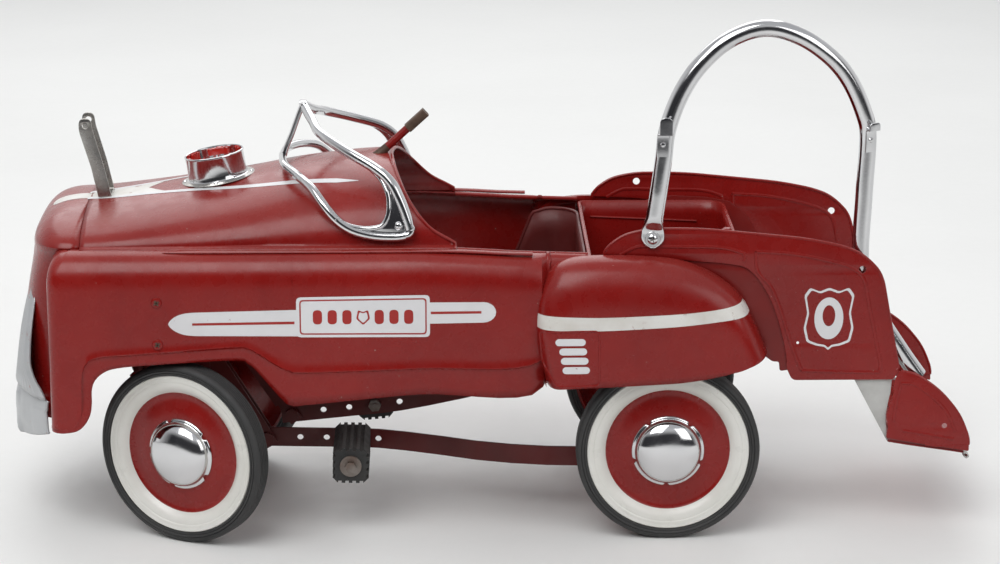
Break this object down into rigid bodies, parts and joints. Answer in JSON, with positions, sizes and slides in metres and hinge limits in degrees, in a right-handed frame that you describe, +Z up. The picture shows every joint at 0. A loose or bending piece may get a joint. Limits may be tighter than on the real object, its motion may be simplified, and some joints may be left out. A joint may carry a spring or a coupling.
{
  "type": "pedal car",
  "caption": "Steel pedal car styled as a fire truck, with steered front wheels, a cranked rear axle with pedal straps, a rear deck, a step and one curved grab rail.",
  "frame": {"origin": "centre of the bottom of the car's box, on the floor between the wheels", "axes": "+X towards the nose along the length, +Y to the car's left, +Z up"},
  "size_m": [1.0756, 0.4056, 0.5795],
  "materials": {
    "red_enamel": "glossy, aged, with scuffs and chips",
    "dark_red_paint": "worn satin",
    "silver_paint": "aged silver paint with chips",
    "bare_primer": "worn pale primer",
    "chrome": "polished, lightly pitted",
    "red_lens": "clear red, broken",
    "tyre_rubber": "ribbed rubber",
    "whitewall_steel": "white ring round a red dish",
    "axle_steel": "dull steel",
    "pedal_rubber": "ribbed, dusty"
  },
  "bodies": {
    "chassis": {"hood_cowl": "red_enamel", "nose_panel": "red_enamel", "body_side_left": "red_enamel", "body_side_right": "red_enamel", "rear_fender_left": "red_enamel", "rear_fender_right": "red_enamel", "side_panel_left": "red_enamel", "side_panel_right": "red_enamel", "seat": "red_enamel", "rear_tub": "red_enamel", "deck_knob": "red_enamel", "step_tread": "red_enamel", "step_side_left": "red_enamel", "step_side_right": "red_enamel", "fender_screws": "red_enamel", "grille": "silver_paint", "front_bumper": "silver_paint", "step_riser": "bare_primer", "windshield_frame": "chrome", "windshield_screws": "chrome", "bell_bracket": "chrome", "beacon_base": "chrome", "grab_rail": "chrome", "ladder_hooks": "chrome", "rail_bolts": "chrome", "beacon_lens_shards": "red_lens", "front_crossmember": "dark_red_paint", "axle_stirrup_left": "dark_red_paint", "axle_stirrup_right": "dark_red_paint", "front_axle_beam": "dark_red_paint", "column_bracket": "dark_red_paint", "axle_hanger_left": "dark_red_paint", "axle_hanger_right": "dark_red_paint"},
    "spindle_left": {"spindle_left": "dark_red_paint"},
    "spindle_right": {"spindle_right": "dark_red_paint"},
    "tie_rod": {"tie_rod": "dark_red_paint"},
    "steering_column": {"steering_column": "red_enamel"},
    "wheel_front_left": {"tyre_front_left": "tyre_rubber", "wheel_front_left": "whitewall_steel", "hubcap_front_left": "chrome"},
    "wheel_front_right": {"tyre_front_right": "tyre_rubber", "wheel_front_right": "whitewall_steel", "hubcap_front_right": "chrome"},
    "rear_axle": {"rear_axle": "axle_steel", "tyre_rear_left": "tyre_rubber", "wheel_rear_left": "whitewall_steel", "hubcap_rear_left": "chrome"},
    "wheel_rear_right": {"tyre_rear_right": "tyre_rubber", "wheel_rear_right": "whitewall_steel", "hubcap_rear_right": "chrome"},
    "strap_left": {"pedal_strap_left": "dark_red_paint", "pedal_hanger_left": "dark_red_paint", "pedal_bolt_left": "axle_steel"},
    "strap_right": {"pedal_strap_right": "dark_red_paint", "pedal_hanger_right": "dark_red_paint", "pedal_bolt_right": "axle_steel"},
    "pedal_left": {"pedal_left": "pedal_rubber"},
    "pedal_right": {"pedal_right": "pedal_rubber"}
  },
  "joints": [
    {"name": "steer_left", "type": "hinge", "parent": "chassis", "child": "spindle_left", "pos_m": [0.32, 0.12, 0.1016], "axis": [0, 0, 1], "range_deg": [-3, 57]},
    {"name": "steer_right", "type": "hinge", "parent": "chassis", "child": "spindle_right", "pos_m": [0.32, -0.12, 0.1016], "axis": [0, 0, 1], "range_deg": [-3, 57]},
    {"name": "tie_rod_turn", "type": "hinge", "parent": "spindle_left", "child": "tie_rod", "pos_m": [0.34673, 0.10638, 0.13], "axis": [0, 0, 1], "range_deg": [-57, 3]},
    {"name": "column_turn", "type": "hinge", "parent": "chassis", "child": "steering_column", "pos_m": [0.116, 0, 0.406], "axis": [-0.7373, 0, 0.6756], "range_deg": [-3, 57]},
    {"name": "wheel_front_left_spin", "type": "hinge", "parent": "spindle_left", "child": "wheel_front_left", "pos_m": [0.33362, 0.14673, 0.1016], "axis": [0.454, 0.891, 0], "continuous": true},
    {"name": "wheel_front_right_spin", "type": "hinge", "parent": "spindle_right", "child": "wheel_front_right", "pos_m": [0.30638, -0.14673, 0.1016], "axis": [0.454, 0.891, 0], "continuous": true},
    {"name": "rear_axle_spin", "type": "hinge", "parent": "chassis", "child": "rear_axle", "pos_m": [-0.2, 0, 0.1016], "axis": [0, 1, 0], "continuous": true},
    {"name": "wheel_rear_right_spin", "type": "hinge", "parent": "rear_axle", "child": "wheel_rear_right", "pos_m": [-0.2, -0.1471, 0.1016], "axis": [0, 1, 0], "continuous": true},
    {"name": "crank_left", "type": "hinge", "parent": "rear_axle", "child": "strap_left", "pos_m": [-0.18901, 0.093, 0.07369], "axis": [0, 1, 0], "continuous": true},
    {"name": "crank_right", "type": "hinge", "parent": "rear_axle", "child": "strap_right", "pos_m": [-0.21099, -0.093, 0.12951], "axis": [0, 1, 0], "continuous": true},
    {"name": "pedal_left_spin", "type": "hinge", "parent": "strap_left", "child": "pedal_left", "pos_m": [0.15092, 0.092, 0.08093], "axis": [0, 1, 0], "continuous": true},
    {"name": "pedal_right_spin", "type": "hinge", "parent": "strap_right", "child": "pedal_right", "pos_m": [0.12739, -0.092, 0.09644], "axis": [0, 1, 0], "continuous": true}
  ],
  "couplings": [
    {"joint": "steer_right", "follows": "steer_left", "ratio": 1},
    {"joint": "tie_rod_turn", "follows": "steer_left", "ratio": -1},
    {"joint": "column_turn", "follows": "steer_left", "ratio": 1},
    {"joint": "crank_left", "follows": "rear_axle_spin", "ratio": -1},
    {"joint": "crank_right", "follows": "rear_axle_spin", "ratio": -1}
  ]
}
